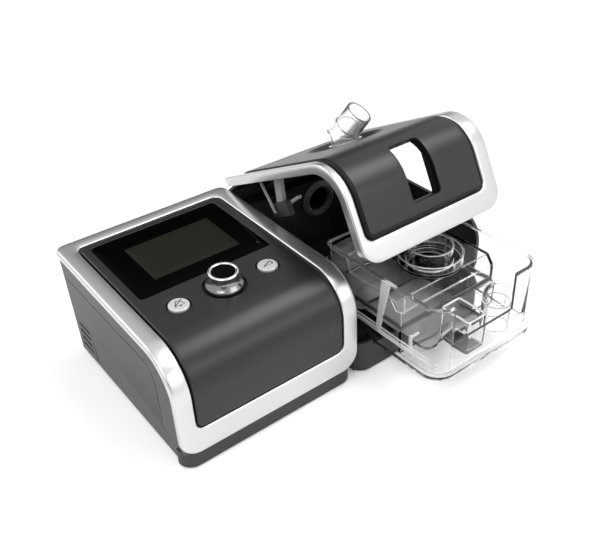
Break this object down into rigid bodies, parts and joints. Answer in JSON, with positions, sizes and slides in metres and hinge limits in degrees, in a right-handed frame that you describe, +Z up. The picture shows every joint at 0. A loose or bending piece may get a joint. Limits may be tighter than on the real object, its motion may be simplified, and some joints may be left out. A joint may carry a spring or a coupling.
{
  "type": "bilevel pap machine",
  "caption": "Bedside airway pressure machine with display and knob, and a heated humidifier whose hinged lid stands open over a clear water chamber drawn out to the front",
  "frame": {"origin": "middle of the outline of the part as stored, on the surface it stands on", "axes": "+X from the main unit to the humidifier, +Y to the rear, +Z up"},
  "size_m": [0.2918, 0.2483, 0.1722],
  "materials": {
    "charcoal": "satin",
    "silver": "satin",
    "shell_grey": "satin",
    "black_base": "matte",
    "black_glass": "polished",
    "clear": "polished",
    "board": "satin",
    "steel": "satin",
    "aluminium": "satin",
    "black_rubber": "matte",
    "grey_rubber": "matte",
    "white_plastic": "satin",
    "light_grey": "satin",
    "filter": "matte"
  },
  "bodies": {
    "machine": {"main_bottom": "black_base", "main_shell": "shell_grey", "main_front_skirt": "black_base", "main_top_frame": "silver", "main_top_panel": "charcoal", "display_glass": "black_glass", "display_module": "black_base", "control_board": "board", "key_switches": "black_base", "encoder_body": "steel", "main_board": "board", "blower_volute": "white_plastic", "blower_cover": "white_plastic", "blower_motor": "black_base", "blower_mount": "black_rubber", "inlet_filter": "filter", "air_coupling": "grey_rubber", "power_inlet": "black_base", "card_slot": "black_base", "main_feet": "black_rubber", "main_screws": "steel", "hum_base": "black_base", "bay_liner": "black_base", "air_block": "black_base", "inlet_seal": "grey_rubber", "heater_springs": "steel", "heater_board": "board", "hinge_pins": "steel", "hum_feet": "black_rubber", "hum_screws": "steel"},
    "lid": {"lid_frame": "silver", "lid_panel": "charcoal", "lid_inner": "black_base", "lid_duct": "black_base", "lid_seal": "grey_rubber", "lid_stay": "light_grey", "stay_box": "black_base", "outlet_collar": "black_base"},
    "elbow": {"outlet_elbow": "clear"},
    "chamber": {"chamber_tub": "clear", "chamber_pocket": "clear", "filler_tube": "clear", "chamber_cover": "clear", "port_collar": "clear", "chamber_gasket": "grey_rubber", "chamber_plate": "aluminium", "plate_seal": "grey_rubber"},
    "plug": {"fill_plug": "clear"},
    "knob_press": {"encoder_plunger": "white_plastic"},
    "knob": {"encoder_shaft": "steel", "knob": "silver", "knob_ring": "silver", "knob_cap": "black_glass"},
    "mute": {"mute_button": "silver"},
    "ramp": {"ramp_button": "silver"},
    "rotor": {"impeller": "white_plastic", "motor_shaft": "steel"},
    "filter_door": {"filter_cover": "shell_grey"},
    "heater": {"heater_plate": "aluminium"}
  },
  "joints": [
    {"name": "lid_hinge", "type": "hinge", "parent": "machine", "child": "lid", "pos_m": [0.0766, 0.11915, 0.0795], "axis": [-1, 0, 0], "range_deg": [-5, 50]},
    {"name": "elbow_swivel", "type": "hinge", "parent": "lid", "child": "elbow", "pos_m": [0.0821, 0.04383, 0.14621], "axis": [0, 0.4295, 0.9031], "continuous": true},
    {"name": "chamber_slide", "type": "slide", "parent": "machine", "child": "chamber", "axis": [0, -1, 0], "range_m": [-0.075, 0.05]},
    {"name": "plug_pull", "type": "slide", "parent": "chamber", "child": "plug", "axis": [0, 0, 1], "range_m": [0, 0.02]},
    {"name": "knob_push", "type": "slide", "parent": "machine", "child": "knob_press", "axis": [0, 0.0326, -0.9995], "range_m": [0, 0.0005], "stiffness_N_per_m": 2000, "springref_m": -0.001},
    {"name": "knob_turn", "type": "hinge", "parent": "knob_press", "child": "knob", "pos_m": [-0.0699, -0.00815, 0.09616], "axis": [0, -0.0326, 0.9995], "continuous": true},
    {"name": "mute_push", "type": "slide", "parent": "machine", "child": "mute", "axis": [0, 0.0326, -0.9995], "range_m": [0, 0.0008], "stiffness_N_per_m": 1500, "springref_m": -0.0008},
    {"name": "ramp_push", "type": "slide", "parent": "machine", "child": "ramp", "axis": [0, 0.0326, -0.9995], "range_m": [0, 0.0008], "stiffness_N_per_m": 1500, "springref_m": -0.0008},
    {"name": "rotor_spin", "type": "hinge", "parent": "machine", "child": "rotor", "pos_m": [-0.0939, 0.06485, 0.04], "axis": [0, 0, 1], "continuous": true},
    {"name": "filter_door_pull", "type": "slide", "parent": "machine", "child": "filter_door", "axis": [-1, 0, 0], "range_m": [0, 0.02]},
    {"name": "heater_float", "type": "slide", "parent": "machine", "child": "heater", "axis": [0, 0, -1], "range_m": [0, 0.001], "stiffness_N_per_m": 4000, "springref_m": -0.0008, "deforming": ["heater_springs"]}
  ]
}
